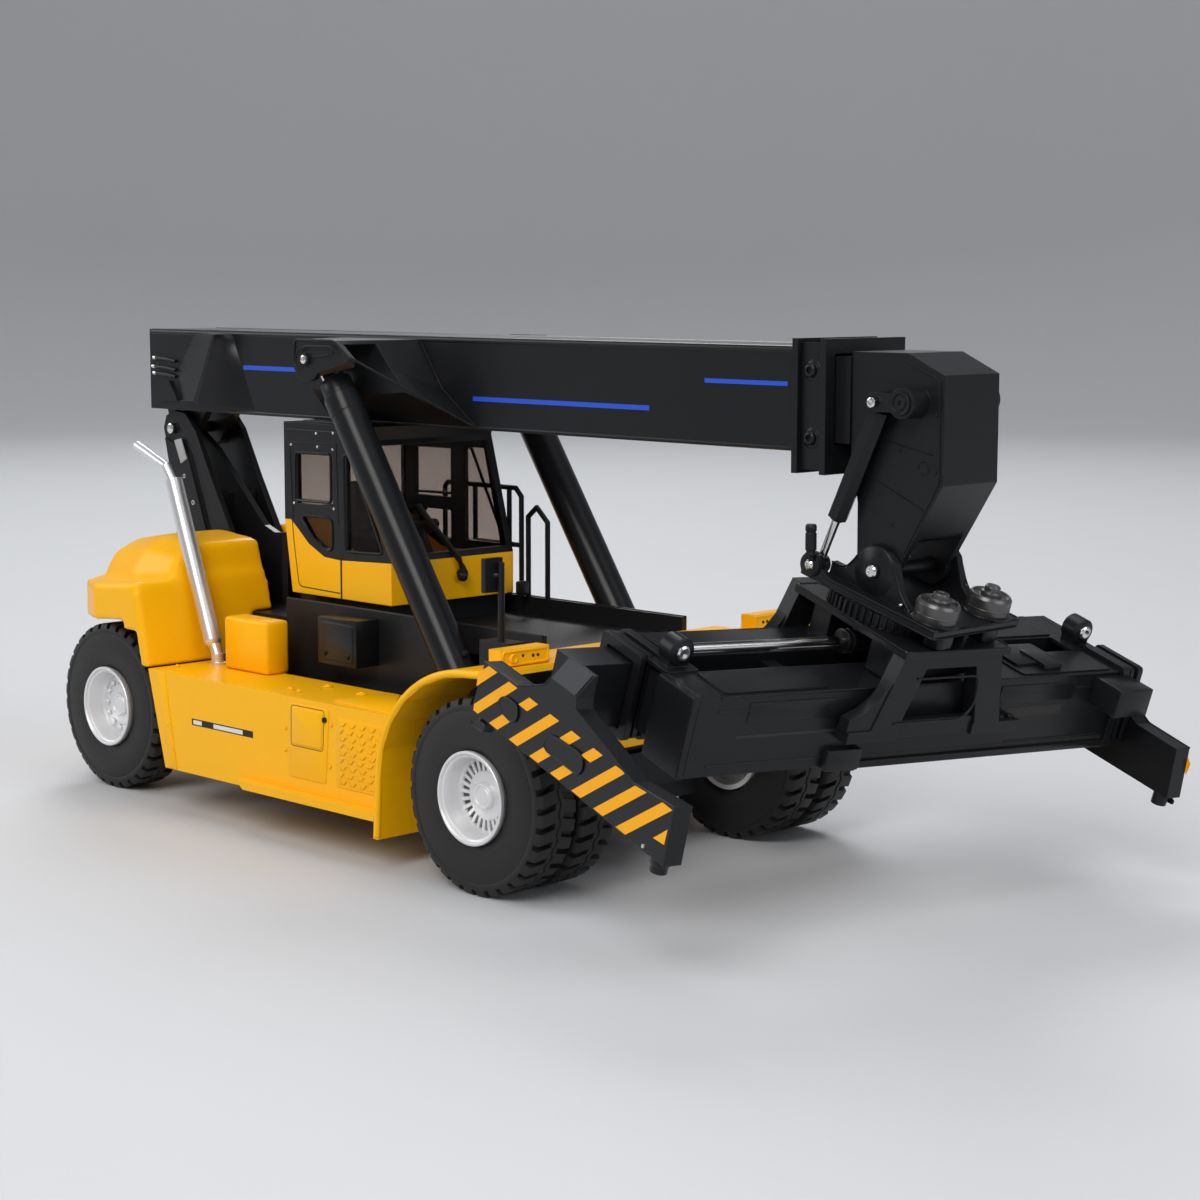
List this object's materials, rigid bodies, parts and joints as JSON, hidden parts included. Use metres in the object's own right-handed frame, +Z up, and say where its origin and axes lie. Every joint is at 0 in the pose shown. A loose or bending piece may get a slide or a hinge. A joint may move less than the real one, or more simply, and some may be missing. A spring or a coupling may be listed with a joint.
{
  "type": "scale model of a container reach stacker",
  "caption": "Scale model of a yellow and black reach stacker with a raising telescopic boom, a tilting and turning container spreader, steered rear wheels and dual front wheels.",
  "frame": {"origin": "on the ground under the middle of the model's outer box", "axes": "+X forward along the boom, +Y to the machine's left, +Z up"},
  "size_m": [0.3114, 0.163, 0.128],
  "materials": {
    "yellow_paint": "satin",
    "black_paint": "satin",
    "tyre_rubber": "matte",
    "silver_paint": "satin",
    "polished_steel": "polished",
    "smoky_glass": "tinted",
    "dark_metal": "metallic",
    "grey_plastic": "matte"
  },
  "bodies": {
    "chassis": {"front_axle": "black_paint", "rear_axle": "black_paint", "chassis_frame": "black_paint", "deck_tray": "black_paint", "body_right": "yellow_paint", "body_left": "yellow_paint", "front_cross_member": "yellow_paint", "lamp_bracket_right": "yellow_paint", "lamp_bracket_left": "yellow_paint", "hood": "yellow_paint", "cab_lower": "yellow_paint", "cab_upper": "black_paint", "cab_glass": "smoky_glass", "cab_base": "black_paint", "seat": "grey_plastic", "console": "grey_plastic", "mast": "black_paint", "battery_box": "yellow_paint", "valve_box": "black_paint", "exhaust": "silver_paint", "handrails": "black_paint", "mirror_post": "black_paint", "wiper_arm": "black_paint"},
    "boom": {"boom_outer": "black_paint"},
    "boom_section": {"boom_inner": "black_paint", "boom_head": "black_paint"},
    "rotator": {"rotator_frame": "black_paint", "slew_motors": "dark_metal"},
    "carriage": {"slew_carriage": "black_paint", "shift_barrel": "black_paint"},
    "spreader": {"spreader_frame": "black_paint", "shift_rod": "polished_steel"},
    "front_wheels_right": {"front_tyres_right": "tyre_rubber", "front_rim_right": "silver_paint"},
    "steering_right": {"knuckle_right": "black_paint"},
    "rear_wheel_right": {"rear_tyre_right": "tyre_rubber", "rear_rim_right": "silver_paint"},
    "lift_cylinder_right": {"lift_barrel_right": "black_paint"},
    "lift_piston_right": {"lift_rod_right": "polished_steel"},
    "damper_right": {"damper_barrel_right": "black_paint"},
    "damper_piston_right": {"damper_rod_right": "polished_steel"},
    "arm_right": {"spreader_arm_right": "black_paint", "twistlocks_right": "polished_steel"},
    "front_wheels_left": {"front_tyres_left": "tyre_rubber", "front_rim_left": "silver_paint"},
    "steering_left": {"knuckle_left": "black_paint"},
    "rear_wheel_left": {"rear_tyre_left": "tyre_rubber", "rear_rim_left": "silver_paint"},
    "lift_cylinder_left": {"lift_barrel_left": "black_paint"},
    "lift_piston_left": {"lift_rod_left": "polished_steel"},
    "damper_left": {"damper_barrel_left": "black_paint"},
    "damper_piston_left": {"damper_rod_left": "polished_steel"},
    "arm_left": {"spreader_arm_left": "black_paint", "twistlocks_left": "polished_steel"}
  },
  "joints": [
    {"name": "front_wheels_right_spin", "type": "hinge", "parent": "chassis", "child": "front_wheels_right", "pos_m": [0.04229, -0.03718, 0.023], "axis": [0, 1, 0], "continuous": true},
    {"name": "front_wheels_left_spin", "type": "hinge", "parent": "chassis", "child": "front_wheels_left", "pos_m": [0.04229, 0.04962, 0.023], "axis": [0, 1, 0], "continuous": true},
    {"name": "steering_right_turn", "type": "hinge", "parent": "chassis", "child": "steering_right", "pos_m": [-0.11991, -0.02458, 0.023], "axis": [0, 0, 1], "range_deg": [-20, 20]},
    {"name": "rear_wheel_right_spin", "type": "hinge", "parent": "steering_right", "child": "rear_wheel_right", "pos_m": [-0.11991, -0.03368, 0.023], "axis": [0, 1, 0], "continuous": true},
    {"name": "steering_left_turn", "type": "hinge", "parent": "chassis", "child": "steering_left", "pos_m": [-0.11991, 0.03702, 0.023], "axis": [0, 0, 1], "range_deg": [-20, 20]},
    {"name": "rear_wheel_left_spin", "type": "hinge", "parent": "steering_left", "child": "rear_wheel_left", "pos_m": [-0.11991, 0.04612, 0.023], "axis": [0, 1, 0], "continuous": true},
    {"name": "boom_lift", "type": "hinge", "parent": "chassis", "child": "boom", "pos_m": [-0.13871, 0.00622, 0.0977], "axis": [0, -1, 0], "range_deg": [0, 45]},
    {"name": "boom_extend", "type": "slide", "parent": "boom", "child": "boom_section", "axis": [1, 0, 0], "range_m": [0, 0.15]},
    {"name": "lift_right_swing", "type": "hinge", "parent": "chassis", "child": "lift_cylinder_right", "pos_m": [0.01569, -0.02428, 0.036], "axis": [0, -1, 0], "range_deg": [0, 0.8097]},
    {"name": "lift_right_stroke", "type": "slide", "parent": "lift_cylinder_right", "child": "lift_piston_right", "axis": [-0.5552, 0, 0.8317], "range_m": [0, 0.077]},
    {"name": "lift_left_swing", "type": "hinge", "parent": "chassis", "child": "lift_cylinder_left", "pos_m": [0.01569, 0.03672, 0.036], "axis": [0, -1, 0], "range_deg": [0, 0.8097]},
    {"name": "lift_left_stroke", "type": "slide", "parent": "lift_cylinder_left", "child": "lift_piston_left", "axis": [-0.5552, 0, 0.8317], "range_m": [0, 0.077]},
    {"name": "spreader_tilt", "type": "hinge", "parent": "boom_section", "child": "rotator", "pos_m": [0.12349, 0.00622, 0.0786], "axis": [0, 1, 0], "range_deg": [-20, 8]},
    {"name": "damper_right_swing", "type": "hinge", "parent": "boom_section", "child": "damper_right", "pos_m": [0.12549, -0.00588, 0.11495], "axis": [0, -1, 0], "range_deg": [-1.43, 3.56]},
    {"name": "damper_right_stroke", "type": "slide", "parent": "damper_right", "child": "damper_piston_right", "axis": [-0.4261, 0, -0.9047], "range_m": [-0.0018, 0.00449]},
    {"name": "damper_left_swing", "type": "hinge", "parent": "boom_section", "child": "damper_left", "pos_m": [0.12549, 0.01832, 0.11495], "axis": [0, -1, 0], "range_deg": [-1.43, 3.56]},
    {"name": "damper_left_stroke", "type": "slide", "parent": "damper_left", "child": "damper_piston_left", "axis": [-0.4261, 0, -0.9047], "range_m": [-0.0018, 0.00449]},
    {"name": "spreader_slew", "type": "hinge", "parent": "rotator", "child": "carriage", "pos_m": [0.12349, 0.00622, 0.0786], "axis": [0.2874, 0, 0.9578], "range_deg": [-8.6, 27.4]},
    {"name": "side_shift", "type": "slide", "parent": "carriage", "child": "spreader", "axis": [0.1564, 0.9866, -0.0469], "range_m": [-0.01, 0.01]},
    {"name": "arm_right_extend", "type": "slide", "parent": "spreader", "child": "arm_right", "axis": [-0.1564, -0.9866, 0.0469], "range_m": [-0.0121, 0.07]},
    {"name": "arm_left_extend", "type": "slide", "parent": "spreader", "child": "arm_left", "axis": [0.1564, 0.9866, -0.0469], "range_m": [0, 0.085]}
  ],
  "couplings": [
    {"joint": "steering_left_turn", "follows": "steering_right_turn", "ratio": 1},
    {"joint": "lift_right_swing", "follows": "boom_lift", "ratio": 0.017972},
    {"joint": "lift_right_stroke", "follows": "boom_lift", "m_per_rad": 0.098021},
    {"joint": "damper_right_swing", "follows": "spreader_tilt", "ratio": -0.17735},
    {"joint": "damper_right_stroke", "follows": "spreader_tilt", "m_per_rad": -0.012833},
    {"joint": "lift_left_swing", "follows": "boom_lift", "ratio": 0.017972},
    {"joint": "lift_left_stroke", "follows": "boom_lift", "m_per_rad": 0.098021},
    {"joint": "damper_left_swing", "follows": "spreader_tilt", "ratio": -0.17735},
    {"joint": "damper_left_stroke", "follows": "spreader_tilt", "m_per_rad": -0.012833}
  ]
}
